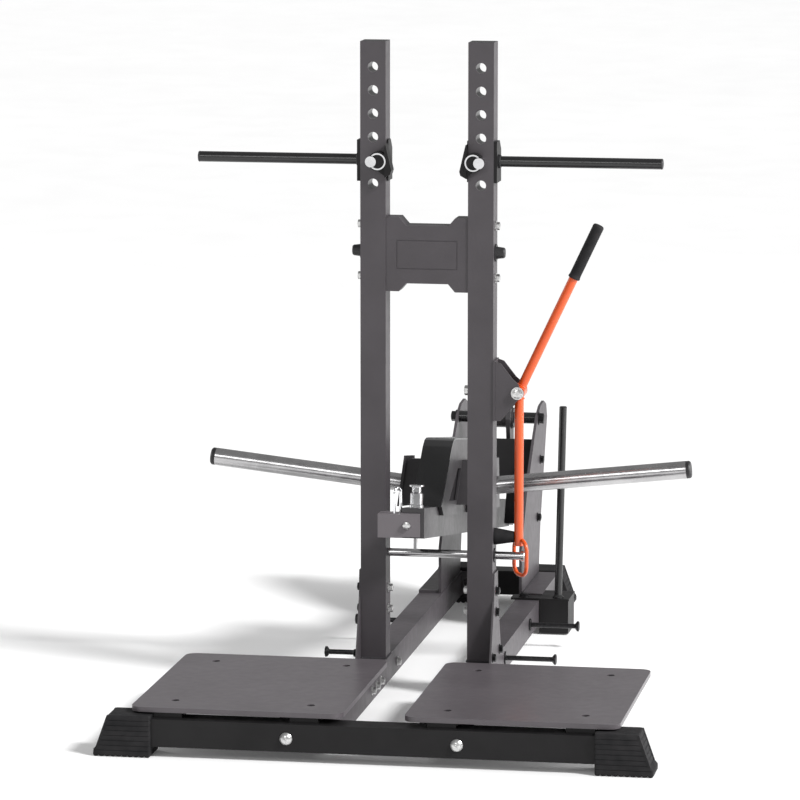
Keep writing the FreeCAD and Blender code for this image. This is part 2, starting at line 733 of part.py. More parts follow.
def make_carriage():
    """Bent cover and side plates that stand on the arm and carry the horns."""
    half = carriage_half
    outer = [(217, 0.2), (375, 164), (402, 181), (430, 187), (461, 188), (872, 188), (872, 0.2)]
    inner = [(866, 0.2), (866, 183), (461, 183), (432, 182), (405, 176.5), (379, 160), (224, 0.2)]
    cover = body("carriage_cover")
    pad(cover, "YZ_Plane", [outer + inner], length=2 * half)
    keep(cover, "carriage_cover", ARM_TURN, ARM_AT)

    outline = [(262, -24), (226, 1), (379, 159.8), (405, 176.3), (432, 181.8), (461, 182.8),
               (865.8, 182.8), (865.8, -24)]
    clamp_strip, clamp_thick = [(262, -24), (228, 0), (865, 0), (865, -24)], 4.8
    windows = [[(350, 14), (489, 103), (547, 103), (484, 14)],
               [(738, 14), (712, 103), (820, 103), (820, 14)]]
    carrier_seat = [(479.5, -30), (479.5, 1.8), (566.7, 126.4), (690.5, 126.4), (726, 1.8), (726, -30)]
    thick = 6
    for side, sign in SIDES:
        name = f"{side}_carriage_plate"
        made = body(name)
        pad(made, "YZ_Plane", [outline], length=thick)
        sketch = new_sketch(made, "YZ_Plane", -sign * thick / 2)
        add_outline(sketch, clamp_strip)
        extrude(made, sketch, clamp_thick, backwards=sign > 0)
        cut(made, "YZ_Plane", windows, length=60)
        cut(made, "YZ_Plane", [carrier_seat], length=60)
        keep(made, name, ARM_TURN, (sign * (half - thick / 2), arm_front_y, arm_front_z))

    box = [(480, 2), (567, 126), (690, 126), (725, 2)]
    box_inside = [(494, 8), (572, 120), (686, 120), (717, 8)]
    end_plate, end_thick = [(466, -7), (562, 134), (695, 134), (736, -7)], 8
    carrier = body("horn_carrier")
    pad(carrier, "YZ_Plane", [box, box_inside], length=2 * (horn_box_end - end_thick))
    for sign in (-1, 1):
        sketch = new_sketch(carrier, "YZ_Plane", sign * (horn_box_end - end_thick))
        add_outline(sketch, end_plate)
        extrude(carrier, sketch, end_thick, backwards=sign < 0)
    keep(carrier, "horn_carrier", ARM_TURN, ARM_AT)


def make_horns():
    """Weight horns that rise outwards, with dark end caps."""
    root_x, root_setback, root_z = 122, 350, 527
    boss, boss_height, cone_end, cap_gap = 28, 9, 12, 0.1
    lift = number(horn_lift)
    lean = math.radians(lift)
    reach = number(horn_length) + cap_gap
    radius = horn_dia / 2
    profile = [(0, 0), (boss, 0), (boss, boss_height), (radius, cone_end), (radius, horn_length),
               (0, horn_length)]
    cap = spun([(0, 0), (24.6, 0), (24.6, 9), (21, 13), (0, 13)])
    caps = []
    for side, sign in SIDES:
        turn = Rotation(Y_AXIS, sign * (90 - lift))
        root = (sign * root_x, mast_y + root_setback, root_z)
        lathe(f"{side}_horn", profile, turn, root)
        tip = (root[0] + sign * reach * math.cos(lean), root[1], root[2] + reach * math.sin(lean))
        caps.append(placed(cap, turn, tip))
    group("horn_caps", caps)


# ---------------------------------------------------------------- safety lever and lock rod
def make_clevis():
    """Two-cheek clevis on the right upright, with the bolt and nut that the lever turns on."""
    base = rectangle(76, 165, (0, 4.5))
    cheek = [(3, 86), (21, 80), (54, 38), (68, 26), (75, 10), (75, -10), (64, -24), (21, -77), (3, -77)]
    base_thick, cheek_thick, bolt_gap = 5, 6, 0.2
    clevis = body("lever_clevis")
    pad(clevis, "YZ_Plane", [base], length=base_thick, offset=fit_gap, both_ways=False)
    for near in (35, -24):
        sketch = new_sketch(clevis, "XZ_Plane", near)
        add_outline(sketch, cheek)
        extrude(clevis, sketch, cheek_thick, backwards=True)
    cut(clevis, "XZ_Plane", circles=[(lever_bolt_dia + bolt_gap, (lever_x - mast_outer, 0))],
        length=200)
    keep(clevis, "lever_clevis", None, (mast_outer, mast_y, lever_z))

    grip, washer, nut_height = 68, 3, 12
    shank = number(lever_bolt_dia)
    bolt = hex_bolt(24, 11, shank, grip + 4, washer)
    nut = placed(hex_bolt(24, nut_height, shank, 0, washer), Rotation(X_AXIS, 180),
                 (0, 0, -grip - 0.2))
    group("lever_bolt", [placed(bolt.fuse(nut), TO_MINUS_Y, (lever_x, mast_y - 35.2, lever_z))])


def cylinder(name, diameter, height, turn=None, at=(0, 0, 0)):
    """A Part cylinder for a boolean, with sizes that may come from the sheet."""
    made = doc.addObject("Part::Cylinder", name)
    bind(made, "Radius", diameter / 2)
    bind(made, "Height", height)
    made.Placement = Placement(Vector(*at), turn or Rotation())
    return made


def make_lever():
    """The bent hand lever with its rubber grip, and the loop that draws the rod."""
    hub_size, hub_depth, end_gap = 36, 50, 4
    lean = number(lever_lean)
    hub = cylinder("lever_hub", hub_size, hub_depth, TO_MINUS_Y, (0, 22.6, 0))
    lower = cylinder("lever_lower", lever_tube, lever_z - lever_bottom, Rotation(X_AXIS, 180))
    upper = cylinder("lever_upper", lever_tube, lever_reach - end_gap, Rotation(Y_AXIS, lean))
    fused = doc.addObject("Part::MultiFuse", "lever_fused")
    fused.Shapes = [hub, lower, upper]
    arm = doc.addObject("Part::Cut", "lever_cut")
    arm.Base = fused
    arm.Tool = cylinder("lever_bore", lever_bolt_dia + 2 * running_gap, 80, TO_MINUS_Y, (0, 40, 0))
    keep(arm, "lever_arm", None, (lever_x, mast_y, lever_z))

    sleeve = doc.addObject("Part::Cut", "grip_cut")
    sleeve.Base = cylinder("grip_outer", 31, grip_length)
    sleeve.Tool = cylinder("grip_core", lever_tube, grip_length - end_gap)
    reach = number(lever_reach - grip_length)
    angle = math.radians(lean)
    keep(sleeve, "lever_grip", Rotation(Y_AXIS, lean),
         (lever_x + reach * math.sin(angle), mast_y, lever_z + reach * math.cos(angle)))

    loop_turn, loop_shift = -52.5, 4.5
    loop = loop_bar(34.5, 342, 439.5, 28, number(loop_bar_dia) / 2)
    group("lever_loop", [placed(loop, Rotation(Z_AXIS, loop_turn), (lever_x + loop_shift, mast_y, 0))])

    bumper, bumper_z = [(0, 0), (23, 0), (23, 6), (15, 54.2), (0, 54.2)], 447
    lathe("lever_bumper", bumper, TO_PLUS_X, (mast_outer, mast_y, bumper_z))


def loop_bar(half, bottom, top, corner, radius):
    """A closed rounded-rectangle loop of round bar standing in the XZ plane."""
    diagonal = corner * (1 - math.sqrt(0.5))
    edges = [Part.makeLine(Vector(0, 0, top), Vector(half - corner, 0, top))]
    spots = [((half - corner, top), (half - diagonal, top - diagonal), (half, top - corner)),
             ((half, bottom + corner), (half - diagonal, bottom + diagonal), (half - corner, bottom)),
             ((corner - half, bottom), (diagonal - half, bottom + diagonal), (-half, bottom + corner)),
             ((-half, top - corner), (diagonal - half, top - diagonal), (corner - half, top))]
    for place, bend in enumerate(spots):
        first, middle, last = (Vector(across, 0, up) for across, up in bend)
        edges.append(Part.Arc(first, middle, last).toShape())
        following = spots[place + 1][0] if place < 3 else (0, top)
        edges.append(Part.makeLine(last, Vector(following[0], 0, following[1])))
    return bent_bar(Part.Wire(edges), radius)


def make_lock_rod():
    """Chrome rod through the uprights under the arm, with an end disc in the loop."""
    tip, radius = rod_length, rod_dia / 2
    profile = [(0, 0), (radius - 2, 0), (radius, 3), (radius, tip), (15, tip), (15, tip + 9),
               (13, tip + 11), (0, tip + 11)]
    lathe("lock_rod", profile, TO_PLUS_X, (rod_tip, mast_y, rod_z))
    bore = number(rod_dia / 2 + running_gap)
    seat = number(bush_dia) / 2
    bush = spun([(bore, -8), (seat, -8), (seat, 0), (20, 0), (20, 3), (bore, 3)])
    group("rod_bushes", [placed(bush, TO_MINUS_X, (mast_inner, mast_y, rod_z)),
                         placed(bush, TO_PLUS_X, (mast_outer, mast_y, rod_z))])


# ---------------------------------------------------------------- fittings on the rails
def make_pegs():
    """Four band pegs on the rails' outer sides, with flared heads."""
    root, head, length = 18, 15, 138
    radius = number(peg_dia) / 2
    peg = spun([(0, 0), (root, 0), (root, 4), (radius, 4), (radius, length - 5), (head, length + 1),
                (head, length + 6), (11, length + 7.5), (0, length + 7.5)])
    peg_height, peg_setbacks = 66, (200, 673)
    group("band_pegs", [placed(peg, TO_PLUS_X if sign > 0 else TO_MINUS_X,
                               (sign * mast_outer, mast_y + away, peg_height))
                        for _, sign in SIDES for away in peg_setbacks])


def make_rail_flanges():
    """Plates across each rail's ends, with the dome-headed bolts through the beams."""
    thick, gap = 8, number(fit_gap)
    front_reach, rear_reach, rear_set, rear_trim = 71.8, 40.8, 20.5, 2
    low, tall = number(ground_gap), number(rail_height)
    outer, inner = number(mast_outer), number(mast_inner)
    front, rear = number(front_beam_back), number(rear_beam_front) - rear_set
    front_plate = Part.makeBox(front_reach, thick, tall)
    rear_plate = Part.makeBox(rear_reach, thick, tall - 2 * rear_trim)
    flanges, bolts = [], []
    for _, sign in SIDES:
        start = outer + gap if sign > 0 else -outer - gap - front_reach
        flanges.append(placed(front_plate, None, (start, front, low)))
        start = inner - gap - rear_reach if sign > 0 else gap - inner
        flanges.append(placed(rear_plate, None, (start, rear, low + rear_trim)))
        bolts.append(placed(dome_bolt(16.5, 9), TO_MINUS_Y,
                            (sign * 223, front_beam_back - beam_depth, 63)))
        bolts.append(placed(dome_bolt(14, 8), TO_MINUS_Y, (sign * 92, rear, 63)))
    group("rail_flanges", flanges)
    group("beam_bolts", bolts)


def make_frame_bolts():
    """Hex bolts and nuts of the gussets, rails, crossmember, lever and storage bracket."""
    gusset_nut, rail_nut, cross_nut = (hex_bolt(*sizes) for sizes in (
        (18, 12, 12, 0, 2.5), (18, 10, 12, 0, 2.5), (19, 11, 12, 0, 2.5)))
    gusset_bolt = hex_bolt(19, 9, 12, 0, 2)
    gusset_face = mast_outer + fit_gap + gusset_thick
    nuts, bolts = [], []
    for _, sign in SIDES:
        inward = TO_MINUS_X if sign > 0 else TO_PLUS_X
        outward = TO_PLUS_X if sign > 0 else TO_MINUS_X
        for up in (236, 295):
            nuts.append(placed(gusset_nut, inward, (sign * mast_inner, mast_y, up)))
            bolts.append(placed(gusset_bolt, outward, (sign * gusset_face, mast_y, up)))
        for away in (-250, -185, -119, 145):
            nuts.append(placed(rail_nut, inward, (sign * mast_inner, mast_y + away, 58)))
        for up in (38, 180):
            nuts.append(placed(cross_nut, outward, (sign * mast_outer, mast_y, cross_bottom + up)))
        for away in (-62, 62):
            bolts.append(placed(gusset_bolt, outward, (sign * gusset_face, mast_y + away, 120)))
    nuts.append(placed(hex_bolt(24, 12, 16, 0, 3), TO_MINUS_X, (mast_inner, mast_y, lever_z)))
    bolts.append(placed(hex_bolt(22, 9, 12, 0, 3), None, (137, post_y + 11, 107)))
    group("frame_nuts", nuts)
    group("frame_bolts", bolts)


def make_storage():
    """Storage post on a folded box bracket that is bolted to the right rail."""
    wall, box_low, box_top = 6, 4, 101
    left, right, depth = 184, 270, 126
    top_plate = [(100, 0), (272, 0), (272, 130), (184.5, 130), (184.5, 52), (100, 52)]
    bracket = body("storage_bracket")
    pad(bracket, "XY_Plane", [[(left, 0), (right, 0), (right, depth), (left, depth)]],
        length=box_top - box_low, offset=box_low, both_ways=False)
    hollow = [(left + wall, wall), (right - wall, wall), (right - wall, depth - wall),
              (left + wall, depth - wall)]
    cut(bracket, "XY_Plane", [hollow], length=box_top - box_low - wall, offset=box_low,
        both_ways=False, backwards=True)
    pad(bracket, "XY_Plane", [top_plate], length=wall, offset=box_top, both_ways=False)
    keep(bracket, "storage_bracket", None, (0, post_y - 10, 0))

    post_lean, seat_gap, post_low = 1.2, 12, 105
    boss, boss_height, cone_end = 16, 6, 11
    radius, length = post_dia / 2, post_length + 10
    profile = [(0, 0), (boss, 0), (boss, boss_height), (radius, cone_end), (radius, length - 2),
               (radius - 2, length), (0, length)]
    lathe("storage_post", profile, Rotation(Y_AXIS, post_lean), (post_x, post_y + seat_gap, post_low))


# ---------------------------------------------------------------- build and export
make_beams()
make_rails()
make_feet()
make_foot_plates()
make_plate_supports()
make_uprights()
make_gussets()
make_crossmember()
make_handles()
make_towers()
make_pivot()
make_arm()
make_arm_pin()
make_belt_hook()
make_carriage()
make_horns()
make_clevis()
make_lever()
make_lock_rod()
make_pegs()
make_rail_flanges()
make_frame_bolts()
make_storage()
doc.recompute()

os.makedirs("parts", exist_ok=True)
for item in doc.Objects:
    if "Invalid" in item.State or "Error" in item.State:
        raise RuntimeError(f"{item.Name} did not build: {item.State}")
for name in node_names:
    item = doc.getObject(name)
    if item.Shape.isNull() or not item.Shape.isValid():
        raise RuntimeError(f"{item.Label} has no valid shape")
    item.Shape.exportStep(f"parts/{item.Label}.step")
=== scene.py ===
"""Belt squat machine: materials, moulded and welded detail, light and camera round the CAD frame.

Metres, in the frame's axes: +Z up, +X to the right from the front, +Y to the pivot towers.
"""
import json
import math

import bpy
from mathutils import Matrix, Vector


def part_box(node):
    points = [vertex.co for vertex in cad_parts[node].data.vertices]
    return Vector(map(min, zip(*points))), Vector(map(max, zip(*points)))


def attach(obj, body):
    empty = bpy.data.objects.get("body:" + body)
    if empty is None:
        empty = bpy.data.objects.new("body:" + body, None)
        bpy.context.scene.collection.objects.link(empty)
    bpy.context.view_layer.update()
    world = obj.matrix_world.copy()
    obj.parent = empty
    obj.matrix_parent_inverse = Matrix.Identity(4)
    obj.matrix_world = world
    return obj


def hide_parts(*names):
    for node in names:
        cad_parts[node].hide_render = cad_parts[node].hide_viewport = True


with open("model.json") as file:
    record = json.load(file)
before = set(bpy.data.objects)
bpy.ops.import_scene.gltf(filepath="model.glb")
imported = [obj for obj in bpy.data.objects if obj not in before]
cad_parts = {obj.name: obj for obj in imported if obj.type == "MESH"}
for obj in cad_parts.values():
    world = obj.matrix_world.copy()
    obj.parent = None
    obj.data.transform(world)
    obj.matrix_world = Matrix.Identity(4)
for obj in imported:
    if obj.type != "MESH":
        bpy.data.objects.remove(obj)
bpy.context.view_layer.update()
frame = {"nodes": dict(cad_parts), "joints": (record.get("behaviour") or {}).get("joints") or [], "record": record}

MM = 0.001
nodes = frame["nodes"]
SIDES = (("left", -1), ("right", 1))


# ---------------------------------------------------------------- materials
class Shader:
    """A node material with object-space noise for colour, roughness and bump."""

    def __init__(self, name, metallic=0.0, coat=0.0, specular=0.5):
        self.material = bpy.data.materials.new(name)
        self.material.use_nodes = True
        self.tree = self.material.node_tree
        self.surface = self.tree.nodes["Principled BSDF"]
        self.surface.inputs["Metallic"].default_value = metallic
        self.surface.inputs["Coat Weight"].default_value = coat
        self.surface.inputs["Coat Roughness"].default_value = 0.18
        self.surface.inputs["Specular IOR Level"].default_value = specular
        self.place = self.tree.nodes.new("ShaderNodeTexCoord").outputs["Object"]

    def node(self, kind, **inputs):
        made = self.tree.nodes.new(kind)
        for name, value in inputs.items():
            made.inputs[name.replace("_", " ")].default_value = value
        return made

    def link(self, source, target):
        self.tree.links.new(source, target)

    def stretched(self, scale):
        """Object coordinates stretched along the axes, for brushed or drawn surfaces."""
        mapping = self.node("ShaderNodeMapping", Scale=scale)
        self.link(self.place, mapping.inputs["Vector"])
        return mapping.outputs["Vector"]

    def noise(self, scale, detail=3.0, stretch=None):
        made = self.node("ShaderNodeTexNoise", Scale=scale, Detail=detail, Roughness=0.55)
        self.link(self.stretched(stretch) if stretch else self.place, made.inputs["Vector"])
        return made.outputs["Fac"]

    def ramp(self, factor, low, high, start=0.35, end=0.65):
        made = self.node("ShaderNodeMapRange")
        made.inputs["From Min"].default_value = start
        made.inputs["From Max"].default_value = end
        made.inputs["To Min"].default_value = low
        made.inputs["To Max"].default_value = high
        self.link(factor, made.inputs["Value"])
        return made.outputs["Result"]

    def colour(self, factor, low, high):
        made = self.node("ShaderNodeValToRGB")
        made.color_ramp.elements[0].position = 0.32
        made.color_ramp.elements[1].position = 0.68
        made.color_ramp.elements[0].color = (*low, 1)
        made.color_ramp.elements[1].color = (*high, 1)
        self.link(factor, made.inputs["Fac"])
        self.link(made.outputs["Color"], self.surface.inputs["Base Color"])

    def roughness(self, factor, low, high):
        self.link(self.ramp(factor, low, high), self.surface.inputs["Roughness"])

    def bump(self, layers):
        """Stack of (height, depth in millimetres) bumps, coarse first."""
        last = None
        for height, depth in layers:
            made = self.node("ShaderNodeBump", Strength=1.0, Distance=depth * MM)
            self.link(height, made.inputs["Height"])
            if last:
                self.link(last, made.inputs["Normal"])
            last = made.outputs["Normal"]
        self.link(last, self.surface.inputs["Normal"])


def powder_coat(name, low, high, rough=(0.42, 0.47), grain=0.03, coat=0.0, specular=0.5):
    """Baked powder paint: fine orange-peel, faint cloudiness."""
    made = Shader(name, coat=coat, specular=specular)
    cloud = made.noise(7.0, 4.0)
    made.colour(cloud, low, high)
    made.roughness(made.noise(38.0, 4.0), *rough)
    made.bump([(made.noise(420.0, 2.0), grain * 2), (made.noise(1500.0, 2.0), grain)])
    return made.material


def moulded_rubber():
    made = Shader("rubber_moulded", specular=0.18)
    made.colour(made.noise(30.0, 5.0), (0.010, 0.010, 0.011), (0.022, 0.021, 0.022))
    made.roughness(made.noise(120.0, 3.0), 0.62, 0.82)
    made.bump([(made.noise(900.0, 4.0), 0.12)])
    return made.material


def satin_chrome(name, axis, rough=(0.16, 0.30)):
    """Drawn bar, ground then plated: streaks round or along the given axis."""
    made = Shader(name, metallic=1.0)
    stretch = [420.0, 420.0, 420.0]
    stretch[axis] = 9.0
    streak = made.noise(1.0, 5.0, stretch)
    made.colour(made.noise(14.0, 3.0), (0.44, 0.435, 0.44), (0.56, 0.555, 0.56))
    made.roughness(streak, *rough)
    made.bump([(streak, 0.018)])
    return made.material


def polished_chrome():
    made = Shader("chrome_polished", metallic=1.0)
    made.colour(made.noise(20.0, 3.0), (0.72, 0.72, 0.73), (0.84, 0.84, 0.85))
    made.roughness(made.noise(260.0, 5.0), 0.06, 0.16)
    made.bump([(made.noise(35.0, 2.0), 0.02)])
    return made.material


def zinc_plate():
    made = Shader("zinc_plate", metallic=1.0)
    made.colour(made.noise(160.0, 4.0), (0.50, 0.50, 0.50), (0.78, 0.78, 0.77))
    made.roughness(made.noise(480.0, 4.0), 0.22, 0.42)
    made.bump([(made.noise(1200.0, 3.0), 0.03)])
    return made.material


def black_oxide():
    made = Shader("black_oxide", metallic=0.65)
    made.colour(made.noise(140.0, 4.0), (0.012, 0.012, 0.013), (0.035, 0.034, 0.036))
    made.roughness(made.noise(500.0, 4.0), 0.28, 0.44)
    made.bump([(made.noise(1300.0, 3.0), 0.03)])
    return made.material


def black_plastic():
    made = Shader("plastic_moulded", specular=0.45)
    made.colour(made.noise(40.0, 3.0), (0.012, 0.012, 0.013), (0.022, 0.021, 0.023))
    made.roughness(made.noise(300.0, 3.0), 0.38, 0.5)
    made.bump([(made.noise(1100.0, 3.0), 0.05)])
    return made.material


def weld_paint():
    """Painted weld metal: same coat as the frame over an uneven bead."""
    made = Shader("weld_painted")
    made.colour(made.noise(60.0, 3.0), (0.020, 0.019, 0.021), (0.034, 0.032, 0.035))
    made.roughness(made.noise(200.0, 3.0), 0.38, 0.5)
    made.bump([(made.noise(500.0, 3.0), 0.1)])
    return made.material


CHARCOAL = powder_coat("frame_charcoal", (0.050, 0.044, 0.049), (0.062, 0.055, 0.061))
PLATE_COAT = powder_coat("plate_charcoal", (0.078, 0.069, 0.076), (0.092, 0.082, 0.090),
                         rough=(0.28, 0.32), grain=0.014)
ARM_COAT = powder_coat("arm_charcoal", (0.030, 0.028, 0.030), (0.042, 0.039, 0.042),
                       rough=(0.34, 0.39))
# Darker copy of the frame paint, used as painted shade on the beams, supports, brace and brackets that sit in
# shadow.
SHADED_FRAME_COAT = powder_coat("frame_painted_shade", (0.009, 0.0085, 0.009), (0.013, 0.0125, 0.013),
                        specular=0.2)
# Lighter copy of the frame paint, used as painted light on the arm end bracket's lit faces.
LIT_BRACKET_COAT = powder_coat("bracket_painted_light", (0.13, 0.118, 0.127), (0.155, 0.14, 0.15),
                        rough=(0.32, 0.38))
GLOSS_BLACK = powder_coat("gloss_black", (0.007, 0.007, 0.007), (0.012, 0.012, 0.013),
                          rough=(0.22, 0.27), grain=0.012, coat=0.2)
ORANGE = powder_coat("lever_orange", (0.62, 0.070, 0.006), (0.70, 0.088, 0.009),
                     rough=(0.27, 0.33), grain=0.012, coat=0.3)
RUBBER = moulded_rubber()
HORN_CHROME = satin_chrome("horn_chrome", 0)
ROD_CHROME = satin_chrome("rod_chrome", 0, rough=(0.10, 0.20))
CHROME = polished_chrome()
ZINC = zinc_plate()
BLACK_STEEL = black_oxide()
PLASTIC = black_plastic()
WELD = weld_paint()

SLOT_MATERIALS = {"frame_paint": CHARCOAL, "arm_paint": ARM_COAT, "rubber": RUBBER,
                  "orange_paint": ORANGE, "chrome": CHROME, "zinc": ZINC,
                  "black_steel": BLACK_STEEL, "black_plastic": PLASTIC}
# Per-node materials: the darker frame coat is painted shade and the lighter bracket coat is painted light, both
# copies of the frame paint.
OWN_MATERIALS = ((SHADED_FRAME_COAT, ("front_beam", "rear_beam", "plate_supports", "tower_brace",
                              "storage_bracket", "left_handle_bracket", "right_handle_bracket")),
                 (PLATE_COAT, ("left_foot_plate", "right_foot_plate")),
                 (GLOSS_BLACK, ("carriage_cover", "left_handle_bar", "right_handle_bar",
                                "storage_post", "pivot_axle")),
                 (HORN_CHROME, ("left_horn", "right_horn")),
                 (ROD_CHROME, ("lock_rod",)),
                 (LIT_BRACKET_COAT, ("arm_end_bracket",)))
NODE_MATERIALS = {name: material for material, names in OWN_MATERIALS for name in names}
SOFT_EDGES = {"front_beam": 3.0, "rear_beam": 3.0, "left_rail": 3.0, "right_rail": 3.0,
              "left_upright": 2.2, "right_upright": 2.2, "arm_tube": 3.0,
              "left_foot_plate": 2.5, "right_foot_plate": 2.5, "carriage_cover": 2.0}
PLAIN_EDGE = 0.7
BROKEN_ANGLE = math.radians(35)
SHARP_ANGLE = math.radians(32)


def dress_nodes():
    """Every CAD node gets its slot's material, its own where it has one, and broken edges."""
    slots = {entry["node"]: entry["material_slot"] for entry in frame["record"]["subparts"]}
    for name, obj in nodes.items():
        obj.data.materials.clear()
        obj.data.materials.append(NODE_MATERIALS.get(name, SLOT_MATERIALS[slots[name]]))
        edge = obj.modifiers.new("broken_edge", "BEVEL")
        edge.width = SOFT_EDGES.get(name, PLAIN_EDGE) * MM
        edge.segments = 3 if name in SOFT_EDGES else 2
        edge.limit_method = "ANGLE"
        edge.angle_limit = BROKEN_ANGLE
        edge.use_clamp_overlap = True
        edge.harden_normals = True


# ---------------------------------------------------------------- mesh building
def added(name, data):
    """A new object in the scene for a mesh, light or camera."""
    made = bpy.data.objects.new(name, data)
    bpy.context.scene.collection.objects.link(made)
    return made


def piece(name, points, faces, material, body):
    """A finished, smooth-shaded mesh piece that rides on a body."""
    mesh = bpy.data.meshes.new(name)
    mesh.from_pydata([tuple(point) for point in points], [], faces)
    mesh.validate()
    mesh.update()
    obj = added(name, mesh)
    mesh.materials.append(material)
    for polygon in mesh.polygons:
        polygon.use_smooth = True
    mesh.set_sharp_from_angle(angle=SHARP_ANGLE)
    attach(obj, body)
    return obj


def circle(radius, height=0.0, sides=48):
    """Points round the Z axis."""
    angles = [2 * math.pi * step / sides for step in range(sides)]
    return [Vector((radius * math.cos(angle), radius * math.sin(angle), height)) for angle in angles]


def band(low, high, count):
    """Faces between two rings of points, each given by the number of its first point."""
    faces = []
    for step in range(count):
        following = (step + 1) % count
        faces.append((low + step, low + following, high + following, high + step))
    return faces


def stacked_rings(rings, closed_ends=True):
    """Points and faces of equal rings joined in order."""
    count = len(rings[0])
    points = [point for ring in rings for point in ring]
    faces = []
    for level in range(len(rings) - 1):
        faces.extend(band(level * count, (level + 1) * count, count))
    if closed_ends:
        faces.append(tuple(reversed(range(count))))
        last = (len(rings) - 1) * count
        faces.append(tuple(range(last, last + count)))
    return points, faces


def turned(profile, matrix):
    """Points and faces of a profile of (radius, height) pairs turned about Z, then placed."""
    return stacked_rings([[matrix @ point for point in circle(radius, height)]
                          for radius, height in profile])


def sleeve(outer, inner, length, matrix, sides=48):
    """Points and faces of an open tube with a wall, placed with its axis on the matrix's Z."""
    corners = ((outer, 0), (outer, length), (inner, length), (inner, 0))
    points = [matrix @ point for radius, height in corners for point in circle(radius, height, sides)]
    faces = []
    for place in range(len(corners)):
        faces.extend(band(place * sides, (place + 1) % len(corners) * sides, sides))
    return points, faces


def joined(parts):
    """Several (points, faces) lists as one."""
    points, faces = [], []
    for some_points, some_faces in parts:
        start = len(points)
        points.extend(some_points)
        faces.extend(tuple(start + index for index in face) for face in some_faces)
    return points, faces


def placing(axis, at):
    """A matrix that turns +Z to the given axis and moves it to a place."""
    return Matrix.Translation(Vector(at)) @ Vector(axis).to_track_quat("Z", "Y").to_matrix().to_4x4()


def bead(route, radius=2.4 * MM, closed=True):
    """Points and faces of a rippled weld bead along a route of points."""
    ripple = 4.2 * MM
    sides = 10
    samples = []
    stretches = len(route) if closed else len(route) - 1
    for place in range(stretches):
        start, end = Vector(route[place]), Vector(route[(place + 1) % len(route)])
        steps = max(1, round((end - start).length / (ripple / 4)))
        samples.extend(start.lerp(end, step / steps) for step in range(steps))
    if not closed:
        samples.append(Vector(route[-1]))
    rings = []
    travelled = 0.0
    for place, point in enumerate(samples):
        before = samples[place - 1] if closed or place else point
        after = samples[(place + 1) % len(samples)] if closed or place < len(samples) - 1 else point
        travelled += (point - samples[place - 1]).length if place else 0.0
        turn = (after - before).to_track_quat("Z", "Y").to_matrix()
        size = radius * (1 + 0.16 * math.sin(2 * math.pi * travelled / ripple))
        rings.append([point + turn @ spoke for spoke in circle(size, sides=sides)])
    if closed:
        rings.append(rings[0])
    return stacked_rings(rings, closed_ends=not closed)


def round_route(axis, centre, radius):
    """A circular route for a bead, about an axis."""
    matrix = placing(axis, centre)
    return [matrix @ point for point in circle(radius, sides=60)]


# ---------------------------------------------------------------- moulded feet
def rounded_section(low, high, half_depth, level, corner=5 * MM, steps=4):
    """One level outline of a foot, with rounded upright corners."""
    ring = []
    corners = ((high, half_depth, 0), (low, half_depth, 90), (low, -half_depth, 180),
               (high, -half_depth, 270))
    for across, away, start in corners:
        middle_x = across - math.copysign(corner, across - (low + high) / 2)
        middle_y = away - math.copysign(corner, away)
        for step in range(steps + 1):
            angle = math.radians(start + 90 * step / steps)
            ring.append(Vector((middle_x + corner * math.cos(angle),
                                middle_y + corner * math.sin(angle), level)))
    return ring


def moulded_foot(node, sign):
    """A rubber foot with level ribs, a sloped outer end between raised borders, and treads."""
    low, high = (Vector(corner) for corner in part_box(node))
    middle = (low + high) / 2
    length, half_depth, height = high.x - low.x, (high.y - low.y) / 2, high.z
    toe, slope, step_in = 26 * MM, 39 * MM, 9 * MM
    tread = 4 * MM
    ribs = 8
    pitch = (height - tread) / ribs
    groove = 1.4 * MM

    def outer(level):
        if level <= toe:
            return length / 2
        return length / 2 - step_in - (slope - step_in) * (level - toe) / (height - toe)

    rings = []
    for rib in range(ribs):
        base = tread + rib * pitch
        for share, inset in ((0.0, 1), (0.06, 0), (0.86, 0), (0.92, 1)):
            level = base + share * pitch
            cut = groove * inset
            rings.append(rounded_section(-length / 2, outer(level) - cut, half_depth - cut, level))
    rings.append(rounded_section(-length / 2, outer(height) - 1.5 * MM, half_depth - 1.5 * MM, height))
    parts = [stacked_rings(rings)]

    treads = 10
    for place in range(treads):
        across = -length / 2 + (place + 0.5) * length / treads
        radius = length / treads * 0.42
        bar = []
        for away in (-half_depth + MM, half_depth - MM):
            ring = []
            for step in range(13):
                angle = math.pi + math.pi * step / 12
                ring.append(Vector((across + radius * math.cos(angle), away,
                                    tread + 0.5 * MM + (tread + 0.5 * MM) * math.sin(angle))))
            bar.append(ring)
        parts.append(stacked_rings(bar))

    border = 6 * MM
    proud = 1.2 * MM
    for away in (-half_depth + border, half_depth - border):
        rings = []
        for level in (toe + 0.1 * MM, height - MM):
            across = outer(level)
            rings.append([Vector((across - border, away - border, level)),
                          Vector((across + proud, away - border, level)),
                          Vector((across + proud, away + border, level)),
                          Vector((across - border, away + border, level))])
        parts.append(stacked_rings(rings))

    points, faces = joined(parts)
    turn = Matrix.Rotation(0 if sign > 0 else math.pi, 3, "Z")
    placed = [turn @ point + Vector((middle.x, middle.y, 0)) for point in points]
    foot = piece(node + "_moulded", placed, faces, RUBBER, "frame")
    soften = foot.modifiers.new("mould_radius", "BEVEL")
    soften.width = 0.8 * MM
    soften.segments = 2
    soften.limit_method = "ANGLE"
    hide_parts(node)


